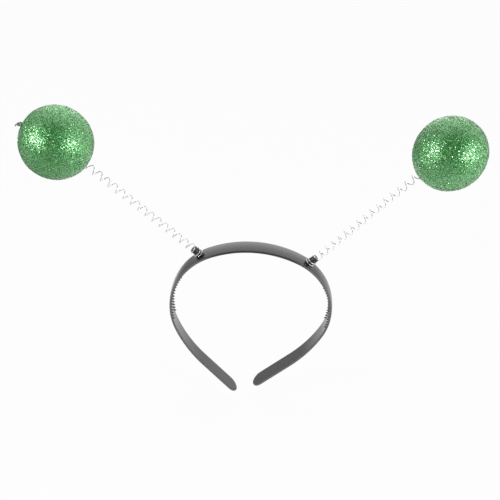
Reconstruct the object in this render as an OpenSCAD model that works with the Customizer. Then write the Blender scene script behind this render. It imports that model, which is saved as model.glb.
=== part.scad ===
// Antenna headband: a sprung plastic band with comb teeth, and two glitter balls on wire springs.
// Millimetres, +Z up as worn. The arch lies in the XZ plane and the origin is under the crown.

/* [Band] */
// width of the band across its face
band_w = 15.8; // [10:0.1:24]
// thickness of the band
band_t = 1.7; // [1.2:0.1:3]
// inner radius over the crown
crown_r = 86.9; // [70:0.1:110]
// angle from the top to the end of the crown arc
crown_a = 24.3; // [12:0.1:28]
// inner radius round the shoulders and temples
side_r = 51.6; // [44:0.1:60]
// angle of the side arc
side_a = 92.5; // [84:0.1:100]
// inner radius of the lower arm
lower_r = 116; // [90:1:160]
// angle of the lower arm's arc
lower_a = 20.3; // [12:0.1:24]
// length of the straight end of an arm, with its round tip
end_l = 40; // [20:0.5:42]
// angle from the top to the place where an arm starts to flex
flex_a = 45; // [43:0.5:47]
// gap left where an arm meets the crown
flex_gap = 0.4; // [0.3:0.1:0.6]
// angle by which the arms stand out of the band's plane, one forward and one back
arm_set = 2.6; // [0:0.1:4]

/* [Comb] */
// length of a tooth
tooth_l = 1.6; // [1:0.1:4]
// diameter of a tooth at its root
tooth_root_d = 1.5; // [1:0.1:2]
// diameter of a tooth at its tip
tooth_tip_d = 0.9; // [0.5:0.1:1]
// spacing of the teeth along the band
tooth_pitch = 2.7; // [2.2:0.1:4]
// distance of a row of teeth from the edge of the band
tooth_inset = 1.3; // [1.1:0.1:3]
// angle from the top to the highest tooth
tooth_first_a = 60; // [49:0.5:64]
// angle from the top to the lowest tooth
tooth_last_a = 105.5; // [90:0.5:107]

/* [Peg] */
// angle from the top to the middle of a peg
peg_a = 34.2; // [33:0.1:36]
// lean of a peg from upright
peg_lean = 47.3; // [36:0.1:50]
// diameter of a peg's wide foot
foot_d = 6; // [5:0.1:7]
// height of the foot above the band
foot_h = 3; // [2:0.1:6]
// diameter of the peg above its foot
stud_d = 5.6; // [4:0.1:5.8]
// height of the whole peg above the band
peg_h = 8.6; // [8:0.1:12]
// radius on the end of the peg
peg_round = 0.8; // [0.3:0.1:1.5]
// diameter of the spigot that fills the hole in the band
spigot_d = 3.8; // [3:0.1:4.5]
// play between the spigot and its hole
spigot_play = 0.05; // [0.02:0.01:0.1]

/* [Spring] */
// diameter of the wire
wire_d = 0.8; // [0.6:0.05:0.9]
// play between the wire and the piece that it goes round or through
wire_play = 0.3; // [0.2:0.05:0.5]
// mean diameter of the free coils
coil_d = 6.4; // [6:0.1:9]
// turns wound round the foot of the peg
foot_turns = 1.1; // [1:0.05:2]
// clear gap between the turns round the foot
foot_gap = 1.5; // [0.6:0.1:1.6]
// turns between the foot and the end of the peg
peg_turns = 1; // [0.75:0.05:1.5]
// turns of the left spring from its peg to its ball
left_turns = 14.5; // [10:0.25:18]
// turns of the right spring from its peg to its ball
right_turns = 15.25; // [10:0.25:18]
// share by which the coils are wider apart at the ball and closer at the peg
coil_stretch = 0.07; // [0:0.01:0.2]
// length of the spring from the end of the peg to the ball
free_l = 112; // [80:1:140]
// length over which the last coil draws in to the ball
lead_l = 2.5; // [2:0.1:6]
// turns over which the last coil draws in to the ball
lead_turns = 0.75; // [0.5:0.25:1]
// lean of the left spring from upright
left_lean = 51.9; // [30:0.1:60]
// lean of the right spring from upright
right_lean = 41.7; // [30:0.1:60]
// angle by which the left wire turns down as it goes into its ball
left_tail_turn = 6.2; // [0:0.1:10]
// angle at which the left wire starts round its peg
left_start_a = 80; // [0:2:358]
// angle at which the right wire starts round its peg
right_start_a = 176; // [0:2:358]

/* [Ball] */
// diameter of a ball over its glitter
ball_d = 60; // [40:0.5:80]
// distance of the left ball's middle below its wire's line
left_ball_off = -2.7; // [-5:0.1:5]
// distance of the right ball's middle below its wire's line
right_ball_off = 2.7; // [-5:0.1:5]
// thickness of the glitter coat
coat_t = 0.4; // [0.3:0.05:1]
// width of the dimple where the wire goes in
dimple_d = 5; // [4:0.1:8]
// depth of the dimple
dimple_h = 1.4; // [1:0.1:3]
// diameter of the glue plug in the far side of a ball
plug_d = 4; // [3.5:0.1:6]
// depth of the glue plug
plug_h = 4; // [3:0.1:8]
// diameter of the drip of glue on the left ball
drip_d = 2.6; // [2.4:0.1:3.2]
// length of the drip of glue on the left ball
drip_l = 4; // [3:0.1:8]
// angle by which the drip turns down from the wire's line
drip_turn = 24; // [0:1:30]
// bend radius of the wire's end outside the left ball
hook_r = 1.5; // [1.2:0.1:3]
// angle of that bend
hook_a = 80; // [60:5:140]
// depth of the wire's end below the surface of the right ball
tail_depth = 1.5; // [1:0.1:2]

/* [Hidden] */
$fn = 96;

left = -1;
right = 1;
// rings round one turn of wire and points round one ring
ring_count = 8;
ring_sides = 6;
// turns over which the coil draws in from the peg to its free width
settle_turns = 1;
// angle between the rings of the bent wire end
hook_step = 15;
// largest angle of one flat along the band's arcs
facet_a = 2.5;
// how far cutting shapes run past what they cut
over = 1;

wire_r = wire_d / 2;
ball_r = ball_d / 2;
core_r = ball_r - coat_t;
bore_r = wire_r + wire_play;

// centres of the three arcs, each tangent to the one before
crown_c = [0, -crown_r];
side_c = crown_c + (crown_r - side_r) * [sin(crown_a), cos(crown_a)];
side_end_a = crown_a + side_a;
lower_c = side_c + (side_r - lower_r) * [sin(side_end_a), cos(side_end_a)];
lower_end_a = side_end_a + lower_a;
end_start = lower_c + (lower_r + band_t / 2) * [sin(lower_end_a), cos(lower_end_a)];
end_dir = [cos(lower_end_a), -sin(lower_end_a)];
tip_c = end_start + (end_l - band_w / 2) * end_dir;

// the arm turns out of plane about the middle of its upper end
flex_z = side_c[1] + (side_r + band_t / 2) * cos(flex_a);
flex_gap_a = flex_gap / side_r * 180 / PI;

tooth_root_r = tooth_root_d / 2;
tooth_step_a = tooth_pitch / side_r * 180 / PI;
tooth_count = floor((tooth_last_a - tooth_first_a) / tooth_step_a) + 1;
// the flats along an arc come a little inside its radius
tooth_seat_r = sqrt(pow(side_r * cos(facet_a / 2), 2) - pow(tooth_root_r, 2));

// the peg's foot stands on the outer face of the band
peg_foot = side_c + (side_r + band_t) * [sin(peg_a), cos(peg_a)];
peg_tilt = peg_lean - peg_a;
// a coil of straight chords comes nearer to its axis than its radius says
chord = cos(180 / ring_count);
foot_coil_r = (max(foot_d, stud_d) / 2 + wire_r + wire_play) / chord;
stud_coil_r = (stud_d / 2 + wire_r + wire_play) / chord;
coil_r = coil_d / 2;
foot_pitch = wire_d + foot_gap;
ball_u = peg_h + free_l + ball_r;

// the wire's turns are counted from its start to the end of each stretch
foot_end = foot_turns;
peg_end = foot_end + peg_turns;
lead_start_u = peg_h + free_l - lead_l;

function unit(v) = v / norm(v);

function arc_points(centre, radius, from_a, to_a) =
  let (steps = ceil((to_a - from_a) / facet_a))
  [for (i = [0 : steps])
    let (a = from_a + (to_a - from_a) * i / steps)
    centre + radius * [sin(a), cos(a)]];

// half of the crown from the top down to where the arm starts, a height above the inner face
function crown_line(height) = concat(
  arc_points(crown_c, crown_r + height, 0, crown_a),
  arc_points(side_c, side_r + height, crown_a, flex_a - flex_gap_a)
);

// an arm down to its tip, a height above the inner face
function arm_line(height) = concat(
  arc_points(side_c, side_r + height, flex_a, side_end_a),
  arc_points(lower_c, lower_r + height, side_end_a, lower_end_a),
  [lower_c + (lower_r + height) * [sin(lower_end_a), cos(lower_end_a)] + end_l * end_dir]
);

function backward(p) = [for (i = [len(p) - 1 : -1 : 0]) p[i]];
function turned_over(p) = [for (v = p) [-v[0], v[1]]];
function lean_of(side) = side == left ? left_lean : right_lean;
function tail_lean_of(side) = side == left ? left_lean + left_tail_turn : right_lean;
function start_a_of(side) = side == left ? left_start_a : right_start_a;
function ball_off_of(side) = side == left ? left_ball_off : right_ball_off;
function free_end_of(side) = peg_end + (side == left ? left_turns : right_turns);
function wire_end_of(side) = free_end_of(side) + lead_turns;
function axis_at(side, lean) = [side * sin(lean), 0, cos(lean)];
function across_at(side, lean) = [side * cos(lean), 0, -sin(lean)];

// a point on the antenna's axis, which bends where it leaves the peg and where it meets the ball
function axis_point(side, u) =
  [side * peg_foot[0], 0, peg_foot[1]]
  + min(u, peg_h) * axis_at(side, peg_lean)
  + min(max(u - peg_h, 0), free_l) * axis_at(side, lean_of(side))
  + max(u - peg_h - free_l, 0) * axis_at(side, tail_lean_of(side));

// how far up its leaning peg the wire starts, so that all of its first turn clears the band
function start_u_of(side) =
  wire_r + wire_play + max([for (i = [0 : ring_count])
    (foot_coil_r * cos(start_a_of(side) + 360 * i / ring_count) + wire_r) * tan(peg_tilt)
    - foot_pitch * i / ring_count]);

// how far along its axis the wire has come, with free coils that open out towards the ball
function along(side, turns) =
  let (share = (turns - peg_end) / (free_end_of(side) - peg_end))
  turns < peg_end || turns > free_end_of(side)
    ? lookup(turns, [
        [0, start_u_of(side)],
        [foot_end, start_u_of(side) + foot_turns * foot_pitch],
        [peg_end, peg_h],
        [free_end_of(side), lead_start_u],
        [wire_end_of(side), peg_h + free_l + dimple_h]
      ])
    : peg_h + (lead_start_u - peg_h) * (share + coil_stretch * share * (share - 1));

// how far out from its axis the wire is, first clear of the foot and then of the stud
function outward(side, turns) =
  turns < peg_end
    ? lookup(along(side, turns), [
        [foot_h + wire_d, foot_coil_r],
        [peg_h, stud_coil_r]
      ])
    : lookup(turns, [
        [peg_end, stud_coil_r],
        [peg_end + settle_turns, coil_r],
        [free_end_of(side), coil_r],
        [wire_end_of(side), 0]
      ]);

// a point on the wire after a number of turns, wound the right-handed way on both sides
function coil_point(side, turns) =
  let (
    u = along(side, turns),
    lean = u > peg_h ? lean_of(side) : peg_lean,
    a = start_a_of(side) + 360 * turns
  )
  axis_point(side, u)
  + outward(side, turns) * (cos(a) * across_at(side, lean) + side * sin(a) * [0, 1, 0]);

function coil_points(side) =
  let (steps = ceil(wire_end_of(side) * ring_count))
  [for (i = [0 : steps]) coil_point(side, wire_end_of(side) * i / steps)];

// the left wire runs right through its ball and hooks over, the right one ends in the glue
function tail_points(side) =
  side == right
    ? [axis_point(side, ball_u), axis_point(side, ball_u + ball_r - tail_depth)]
    : let (
        axis = axis_at(side, tail_lean_of(side) + drip_turn),
        across = across_at(side, tail_lean_of(side) + drip_turn),
        exit = axis_point(side, ball_u + ball_r),
        bend = exit + drip_l * axis
      )
      concat(
        [axis_point(side, ball_u), exit],
        [for (a = [0 : hook_step : hook_a])
          bend + hook_r * (sin(a) * axis + (1 - cos(a)) * across)],
        [bend + hook_r * (sin(hook_a) * axis + (1 - cos(hook_a)) * across)
          + wire_d * (cos(hook_a) * axis + sin(hook_a) * across)]
      );

function wire_points(side) =
  let (coil = coil_points(side))
  concat(
    [coil[0] - wire_d * unit(coil[1] - coil[0])],
    coil,
    tail_points(side)
  );

// least clear gap between stretches of the wire that lie most of a turn apart
function least_gap(p) =
  min([for (i = [0 : len(p) - 1])
    for (j = [i + ring_count - 2 : 1 : len(p) - 1])
      norm(p[i] - p[j])]) - wire_d;

function tangent(p, i) = unit(p[min(i + 1, len(p) - 1)] - p[max(i - 1, 0)]);
function square_to(v, t) = unit(v - (v * t) * t);

// a flat-sided strip as wide as the band, from its outline seen from the front
module band_strip(outline) {
  rotate([90, 0, 0])
    linear_extrude(band_w, center = true)
      polygon(outline);
}

// a round bar across the band, on the side arc's centre
module side_bar(radius) {
  translate([side_c[0], 0, side_c[1]])
    rotate([90, 0, 0])
      cylinder(r = radius, h = band_w + 2 * over, center = true);
}

// what is drawn for the right is turned over for the left
module on_side(side) {
  mirror([side == left ? 1 : 0, 0, 0])
    children();
}

module in_arm_plane(side) {
  on_side(side)
    translate([0, 0, flex_z])
      rotate([side * arm_set, 0, 0])
        translate([0, 0, -flex_z])
          children();
}

module on_peg_axis() {
  translate([peg_foot[0], 0, peg_foot[1]])
    rotate([0, peg_lean, 0])
      children();
}

module in_ball_frame(side) {
  translate(axis_point(side, ball_u))
    rotate([0, side * tail_lean_of(side), 0])
      children();
}

// a sphere about the ball's own middle, in the frame of its wire, with its poles away from the holes
module ball_sphere(side, radius) {
  translate([side * ball_off_of(side), 0, 0])
    rotate([90, 0, 0])
      sphere(radius);
}

module spigot_hole() {
  on_peg_axis()
    cylinder(d = spigot_d + 2 * spigot_play, h = 4 * band_t, center = true);
}

module crown_band() {
  color("#55565a")
    difference() {
      band_strip(concat(
        backward(turned_over(crown_line(band_t))),
        crown_line(band_t),
        backward(crown_line(0)),
        turned_over(crown_line(0))
      ));
      for (side = [left, right])
        on_side(side)
          spigot_hole();
    }
}

// what is cut from the square end of an arm to leave a round tip
module tip_corners() {
  translate([tip_c[0], 0, tip_c[1]])
    rotate([0, lower_end_a, 0])
      difference() {
        translate([0, -band_w, -2 * band_t])
          cube([band_w, 2 * band_w, 4 * band_t]);
        cylinder(d = band_w, h = 6 * band_t, center = true);
      }
}

module arm(side) {
  in_arm_plane(side)
    difference() {
      band_strip(concat(arm_line(band_t), backward(arm_line(0))));
      tip_corners();
    }
}

module left_arm() {
  color("#5c5d60")
    arm(left);
}

module right_arm() {
  color("#5c5d60")
    arm(right);
}

module comb_teeth(side) {
  in_arm_plane(side)
    for (row = [-1, 1])
      for (i = [0 : tooth_count - 1])
        translate([side_c[0], row * (band_w / 2 - tooth_inset), side_c[1]])
          rotate([0, tooth_last_a - i * tooth_step_a, 0])
            translate([0, 0, tooth_seat_r - tooth_l])
              cylinder(d1 = tooth_tip_d, d2 = tooth_root_d, h = tooth_l);
}

module left_comb_teeth() {
  color("#505154")
    comb_teeth(left);
}

module right_comb_teeth() {
  color("#505154")
    comb_teeth(right);
}

module peg_outline() {
  square([foot_d / 2, foot_h]);
  square([stud_d / 2 - peg_round, peg_h]);
  square([stud_d / 2, peg_h - peg_round]);
  translate([stud_d / 2 - peg_round, peg_h - peg_round])
    circle(peg_round);
}

module peg(side) {
  on_side(side) {
    difference() {
      on_peg_axis()
        union() {
          rotate_extrude()
            peg_outline();
          translate([0, 0, -band_t])
            cylinder(d = foot_d, h = 2 * band_t);
        }
      side_bar(side_r + band_t);
    }
    intersection() {
      difference() {
        on_peg_axis()
          translate([0, 0, -3 * band_t])
            cylinder(d = spigot_d, h = 3 * band_t + foot_h / 2);
        side_bar(side_r);
      }
      side_bar(side_r + band_t + foot_h / 2);
    }
  }
}

module left_peg() {
  color("#232326")
    peg(left);
}

module right_peg() {
  color("#232326")
    peg(right);
}

module spring(side) {
  p = wire_points(side);
  count = len(p);
  t = [for (i = [0 : count - 1]) tangent(p, i)];
  // each ring takes its direction from the ring before, so the tube never twists
  e = [for (i = 0, v = square_to([0, 1, 0.3], t[0]); i < count;
    i = i + 1, v = i < count ? square_to(v, t[i]) : v) v];
  points = [for (i = [0 : count - 1])
    for (k = [0 : ring_sides - 1])
      p[i] + wire_r * (cos(360 * k / ring_sides) * e[i] + sin(360 * k / ring_sides) * cross(t[i], e[i]))];
  walls = [for (i = [0 : count - 2])
    for (k = [0 : ring_sides - 1])
      let (a = i * ring_sides + k, b = i * ring_sides + (k + 1) % ring_sides)
      each [[a, a + ring_sides, b], [b, a + ring_sides, b + ring_sides]]];
  last = (count - 1) * ring_sides;
  ends = [for (k = [1 : ring_sides - 2])
    each [[0, k, k + 1], [last, last + k + 1, last + k]]];
  polyhedron(points, concat(walls, ends));
}

module left_spring() {
  color("#c9cbcf")
    spring(left);
}

module right_spring() {
  color("#c9cbcf")
    spring(right);
}

// the plug's pocket, open at the far side of the ball
module plug_pocket() {
  translate([0, 0, ball_r - plug_h])
    cylinder(d = plug_d, h = plug_h + over);
}

// the shallow cone where the wire goes in, which narrows to the bore at the dimple's depth
module dimple() {
  slope = (dimple_d / 2 - bore_r) / dimple_h;
  translate([0, 0, -ball_r - over])
    cylinder(r1 = dimple_d / 2 + over * slope, r2 = 0, h = over + dimple_d / 2 / slope);
}

module ball_core(side) {
  in_ball_frame(side)
    difference() {
      ball_sphere(side, core_r);
      cylinder(r = bore_r, h = 2 * ball_d, center = true);
      dimple();
      plug_pocket();
    }
}

module left_ball_core() {
  color("#e4ece2")
    ball_core(left);
}

module right_ball_core() {
  color("#e4ece2")
    ball_core(right);
}

module glitter_coat(side) {
  in_ball_frame(side)
    difference() {
      ball_sphere(side, ball_r);
      ball_sphere(side, core_r);
      dimple();
      plug_pocket();
    }
}

module left_glitter_coat() {
  color("#2f9a47")
    glitter_coat(left);
}

module right_glitter_coat() {
  color("#2f9a47")
    glitter_coat(right);
}

module plug_body(side) {
  intersection() {
    plug_pocket();
    ball_sphere(side, ball_r);
  }
}

// the drip's own line, which starts where the wire comes out of the left ball
module in_drip_frame() {
  translate([0, 0, ball_r])
    rotate([0, left * drip_turn, 0])
      children();
}

module drip() {
  translate([0, 0, -drip_d / 2])
    cylinder(d = drip_d, h = drip_l);
  translate([0, 0, drip_l - drip_d / 2])
    sphere(drip_d / 2);
}

module left_glue_plug() {
  color("#8fa890")
    in_ball_frame(left)
      difference() {
        union() {
          plug_body(left);
          in_drip_frame()
            drip();
        }
        cylinder(r = bore_r, h = ball_r + bore_r);
        in_drip_frame()
          translate([0, 0, -bore_r])
            cylinder(r = bore_r, h = 2 * drip_l);
      }
}

module right_glue_plug() {
  color("#8fa890")
    in_ball_frame(right)
      difference() {
        plug_body(right);
        cylinder(r = bore_r, h = ball_r - tail_depth + wire_play);
      }
}

echo(left_spring_least_gap = least_gap(wire_points(left)));
echo(right_spring_least_gap = least_gap(wire_points(right)));

crown_band();
left_arm();
right_arm();
left_comb_teeth();
right_comb_teeth();
left_peg();
right_peg();
left_spring();
right_spring();
left_ball_core();
right_ball_core();
left_glitter_coat();
right_glitter_coat();
left_glue_plug();
right_glue_plug();
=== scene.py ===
# %% [markdown]
# # An antenna headband with two glitter balls
# The solids come first. They are the measured object, in metres, with +Z up as it is worn, and
# every piece made below goes where its solid already is. The box of the solids is kept here; the floor
# is set below it and it is printed at the end.

# %% Load the solids
import bmesh
import bpy
import numpy as np
from mathutils import Matrix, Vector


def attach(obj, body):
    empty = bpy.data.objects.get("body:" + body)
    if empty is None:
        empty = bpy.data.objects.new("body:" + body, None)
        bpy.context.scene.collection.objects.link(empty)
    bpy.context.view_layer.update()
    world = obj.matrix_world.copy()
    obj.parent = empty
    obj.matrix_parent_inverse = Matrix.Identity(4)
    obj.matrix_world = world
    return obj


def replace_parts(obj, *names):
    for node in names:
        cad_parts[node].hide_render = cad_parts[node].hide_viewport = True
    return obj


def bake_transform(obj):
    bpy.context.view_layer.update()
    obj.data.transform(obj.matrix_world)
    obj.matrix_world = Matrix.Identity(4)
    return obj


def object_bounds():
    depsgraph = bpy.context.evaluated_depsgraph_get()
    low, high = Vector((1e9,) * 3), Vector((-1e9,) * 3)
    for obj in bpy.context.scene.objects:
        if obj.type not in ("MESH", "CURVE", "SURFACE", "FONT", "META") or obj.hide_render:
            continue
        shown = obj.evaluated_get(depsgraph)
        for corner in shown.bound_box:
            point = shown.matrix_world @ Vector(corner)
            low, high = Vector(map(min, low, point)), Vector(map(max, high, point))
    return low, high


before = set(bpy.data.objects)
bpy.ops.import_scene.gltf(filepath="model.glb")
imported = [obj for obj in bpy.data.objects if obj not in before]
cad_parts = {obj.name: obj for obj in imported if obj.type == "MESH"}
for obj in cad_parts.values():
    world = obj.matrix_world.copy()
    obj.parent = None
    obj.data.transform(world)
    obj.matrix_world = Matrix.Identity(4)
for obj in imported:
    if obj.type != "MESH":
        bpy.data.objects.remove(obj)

solid_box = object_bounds()
MM = 0.001
LEFT, RIGHT = -1, 1
SIDE_NAMES = {LEFT: "left", RIGHT: "right"}
Y_WAY = np.array([0, 1, 0])
print("nodes:", len(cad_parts))

# %% [markdown]
# ## Putting an array of points into Blender
# Each piece is worked out as a whole array of points. A grid of rows and columns only needs to be
# told which of its edges meet: a tube closes round its section, a ring closes both ways. Faces are
# then numbered by arithmetic. Blender could also spin or bevel these shapes with its own tools, but a
# formula keeps every piece exactly where its solid is.

# %% Faces of a grid
def grid_faces(rows, columns, close_rows=False):
    """Four-sided faces of a grid that closes round its columns, and over its rows as well for a ring.
    Point (i, j) is number i * columns + j, and a closed edge goes back to its first point."""
    i = np.arange(rows if close_rows else rows - 1)[:, None]
    j = np.arange(columns)[None, :]
    below, beside = (i + 1) % rows, (j + 1) % columns
    return np.stack([i * columns + j, i * columns + beside,
                     below * columns + beside, below * columns + j], -1).reshape(-1, 4)


def end_caps(rows, columns):
    """The two flat ends of a tube: its first and its last row of points, each as one face."""
    return [list(range(columns)), list(range((rows - 1) * columns, rows * columns))]


print("a tube of 3 rows and 4 columns has", len(grid_faces(3, 4)), "faces and", len(end_caps(3, 4)), "ends")

# %% Making a piece
MERGE_GAP, SHARP_A = 1e-7, np.radians(50)


def make_piece(name, points, faces, finish, uv=None, tone=None, flat=False):
    """A mesh object at the origin, with a map and a tone for each point where they are given.
    Coinciding points are merged and faces turned outwards, unless it is flat: loose flakes, or a floor."""
    mesh = bpy.data.meshes.new(name)
    mesh.from_pydata(np.asarray(points).reshape(-1, 3), [], [list(map(int, f)) for f in faces])
    corner_points = np.zeros(len(mesh.loops), np.int32)
    mesh.loops.foreach_get("vertex_index", corner_points)
    if uv is not None:
        layer = mesh.uv_layers.new(name="along")
        layer.data.foreach_set("uv", np.asarray(uv, np.float32).reshape(-1, 2)[corner_points].ravel())
    if tone is not None:
        layer = mesh.attributes.new("tone", "FLOAT", "POINT")
        layer.data.foreach_set("value", np.asarray(tone, np.float32).ravel())
    if not flat:
        shell = bmesh.new()
        shell.from_mesh(mesh)
        bmesh.ops.remove_doubles(shell, verts=shell.verts, dist=MERGE_GAP)
        bmesh.ops.recalc_face_normals(shell, faces=shell.faces)
        shell.to_mesh(mesh)
        shell.free()
        mesh.polygons.foreach_set("use_smooth", np.ones(len(mesh.polygons), bool))
        mesh.set_sharp_from_angle(angle=SHARP_A)
    mesh.materials.append(finish)
    piece = bpy.data.objects.new(name, mesh)
    bpy.context.scene.collection.objects.link(piece)
    print(name, len(mesh.vertices), "points", len(mesh.polygons), "faces")
    return piece


# %% A soft step
def smooth(t):
    """0 below 0 and 1 above 1, with a soft start and end: 3t squared less 2t cubed."""
    t = np.clip(t, 0, 1)
    return t * t * (3 - 2 * t)


print("a soft step, a quarter of the way along:", round(smooth(0.25), 3))

# %% [markdown]
# ## The camera
# The picture is square. The view is from the front and 30 degrees above, a little rolled, through a
# longish lens. A camera can be aimed at a target with a constraint, but the roll would then need an
# empty to turn with. Three angles give the camera's own directions, and these and its place make one
# matrix.

# %% Camera
VIEW_RISE, VIEW_TURN, VIEW_ROLL = np.radians([30.010, 0.208, 4.194])
VIEW_AT, VIEW_FAR = np.array([-4.14, 0, -2.13]) * MM, 1149.6 * MM


def placed(right, up, back, place):
    """A matrix whose columns are three directions and a place."""
    return Matrix([*zip(right, up, back, place), (0, 0, 0, 1)])


view_back = np.array([np.sin(VIEW_TURN) * np.cos(VIEW_RISE), -np.cos(VIEW_TURN) * np.cos(VIEW_RISE),
                      np.sin(VIEW_RISE)])
level = np.array([np.cos(VIEW_TURN), np.sin(VIEW_TURN), 0])
upright = np.cross(view_back, level)
view_right = np.cos(VIEW_ROLL) * level + np.sin(VIEW_ROLL) * upright
view_up = np.cos(VIEW_ROLL) * upright - np.sin(VIEW_ROLL) * level
view_place = VIEW_AT + VIEW_FAR * view_back

camera_data = bpy.data.cameras.new("camera")
camera_data.sensor_width = 36
camera_data.lens = 100.8
camera_data.clip_end = 20
camera = bpy.data.objects.new("camera", camera_data)
bpy.context.scene.collection.objects.link(camera)
camera.matrix_world = placed(view_right, view_up, view_back, view_place)
bpy.context.scene.camera = camera
print("camera at", np.round(view_place, 3))

# %% [markdown]
# ## Shader maths as sums
# A material is a tree of nodes. Wiring it by hand is slow to read, so one small class stands for a
# socket: adding or multiplying two of them adds a Math node, and its one method adds any other node.

# %% A socket that can be added and multiplied
class Finish:
    """One socket of a node tree. Sums on it add Math nodes, and node() adds every other kind."""

    def __init__(self, tree, socket=None):
        self.tree, self.socket = tree, socket

    def node(self, kind, settings=None, sockets=None, out=0):
        """Adds a node of a kind: its settings first, ramp stops among them, then a value or a link for
        each socket. Gives back the output that is named."""
        made = self.tree.nodes.new("ShaderNode" + kind)
        for name, value in (settings or {}).items():
            if name == "stops":
                while len(made.color_ramp.elements) < len(value):
                    made.color_ramp.elements.new(1)
                for element, (place, colour) in zip(made.color_ramp.elements, value):
                    element.position, element.color = place, (*colour, 1)
            else:
                setattr(made, name, value)
        for name, value in (sockets or {}).items():
            if isinstance(value, Finish):
                self.tree.links.new(value.socket, made.inputs[name])
            else:
                made.inputs[name].default_value = value
        return Finish(self.tree, made.outputs[out] if len(made.outputs) else None)

    def math(self, operation, a, b):
        return self.node("Math", {"operation": operation}, {0: a, 1: b})

    def __add__(self, other):
        return self.math("ADD", self, other)

    def __sub__(self, other):
        return self.math("SUBTRACT", self, other)

    def __rsub__(self, other):
        return self.math("SUBTRACT", other, self)

    def __mul__(self, other):
        return self.math("MULTIPLY", self, other)

    __radd__, __rmul__ = __add__, __mul__


# %% Words for finishes
def new_finish(name):
    """An empty material and the start of its node tree."""
    material = bpy.data.materials.new(name)
    material.use_nodes = True
    material.node_tree.nodes.clear()
    return material, Finish(material.node_tree)


def noise(at, scale, detail=3, rough=0.5):
    """Cloudy values from 0 to 1, scale of them to the metre."""
    return at.node("TexNoise", {}, {"Vector": at, "Scale": scale, "Detail": detail, "Roughness": rough})


def step(value, low, high):
    """0 where the value is under low, 1 over high, and smooth between."""
    return value.node("MapRange", {"interpolation_type": "SMOOTHSTEP"},
                      {0: value, 1: low, 2: high, 3: 0.0, 4: 1.0})


def mixed(share, a, b):
    """Colour a where share is 0 and colour b where it is 1."""
    colours = [c if isinstance(c, Finish) else (*c, 1) for c in (a, b)]
    return share.node("Mix", {"data_type": "RGBA"}, {0: share, 6: colours[0], 7: colours[1]}, out=2)


def stretched(at, scale):
    """The same places with each direction scaled, for marks that run one way."""
    return at.node("Mapping", {}, {"Vector": at, "Scale": scale})


def bumped(height, depth, strength):
    """A surface normal that follows a height, depth metres deep."""
    return height.node("Bump", {}, {"Height": height, "Distance": depth, "Strength": strength})


def coated(start, sockets):
    """Ends a material in one Principled shader."""
    shader = start.node("BsdfPrincipled", {}, sockets)
    start.node("OutputMaterial", {}, {"Surface": shader})


# %% [markdown]
# ## Charcoal band plastic
# The band is a cheap polystyrene moulding. The plastic is nearly black, and the greys seen on it are the
# pale studio in its satin skin. It has a fine grain from the mould, faint cloudiness where the plastic
# flowed and hair-fine rubs along its length from being put on and taken off. Its edges are painted paler,
# a painted highlight for the lamps on the rounded edges, and the comb teeth are a little paler at their
# tips from rubbing. Noise at three sizes gives the grain, the cloud and the rubs. The rubs use the piece's
# own along-and-across map, so that they follow the curve, and the painted edge highlight is told by a tone
# at each point.

# %% Band finish
band_finish, start = new_finish("band_plastic")
at = start.node("TexCoord", out="Object")
along = start.node("TexCoord", out="UV")
cloud = noise(at, 55, 4, 0.6)
grain = noise(at, 2400, 2, 0.55)
rubs = step(noise(stretched(along, (14, 900, 1)), 3.0, 2, 0.5), 0.62, 0.78)
edge_highlight_and_tooth_wear = start.node("Attribute", {"attribute_name": "tone"}, out="Fac")
grey = mixed(cloud, (0.017, 0.017, 0.018), (0.029, 0.029, 0.031))
grey = mixed(rubs * 0.35, grey, (0.07, 0.07, 0.073))
# Painted highlight: the band's edges are mixed paler here; on the teeth the same tone is wear at the tips.
grey = mixed(edge_highlight_and_tooth_wear * 0.6, grey, (0.19, 0.19, 0.196))
coated(start, {
    "Base Color": grey,
    "Roughness": 0.17 + 0.09 * cloud + 0.05 * grain + 0.1 * rubs + 0.3 * edge_highlight_and_tooth_wear,
    "Normal": bumped(grain + 0.3 * cloud, 0.00002, 0.4),
    "IOR": 1.57,
})
print("band finish: nodes", len(band_finish.node_tree.nodes))

# %% [markdown]
# ## The line of the band
# Seen from the front, half the band is three arcs, each running smoothly into the next, and a straight
# end: the crown, the side round the temple, the lower arm and the tip. The distance along the inner
# face gives the heading, and the heading gives the place on the arc. Drawing it as a Bezier curve
# would be quicker, but would only come near to the solids.

# %% Band line
BAND_W, BAND_T = 16.6 * MM, 1.7 * MM
ARC_R = np.array([86.9, 51.6, 116]) * MM
ARC_A = np.radians([24.3, 92.5, 20.3])
END_L = 40 * MM
FLEX_A = np.radians(45)
ARM_SET, SET_RUN = np.radians(2.6), 32 * MM
heads = np.concatenate([[0], np.cumsum(ARC_A), [ARC_A.sum()]])
stations = np.concatenate([[0], np.cumsum(ARC_R * ARC_A), [(ARC_R * ARC_A).sum() + END_L]])


def outward_at(heading):
    """The way out of the arch at a heading: its sine across and its cosine up."""
    return np.stack([np.sin(heading), np.cos(heading)], -1)


arc_centres = [np.array([0, -ARC_R[0]])]
for inner, outer, head in zip(ARC_R[:-1], ARC_R[1:], heads[1:3]):
    arc_centres.append(arc_centres[-1] + (inner - outer) * outward_at(head))
arc_centres = np.array(arc_centres)
FLEX_S = stations[1] + ARC_R[1] * (FLEX_A - heads[1])
FLEX_Z = arc_centres[1][1] + (ARC_R[1] + BAND_T / 2) * np.cos(FLEX_A)
print("half the band is", round(stations[-1] / MM, 1), "mm long and flexes from", round(FLEX_S / MM, 1))


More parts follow.
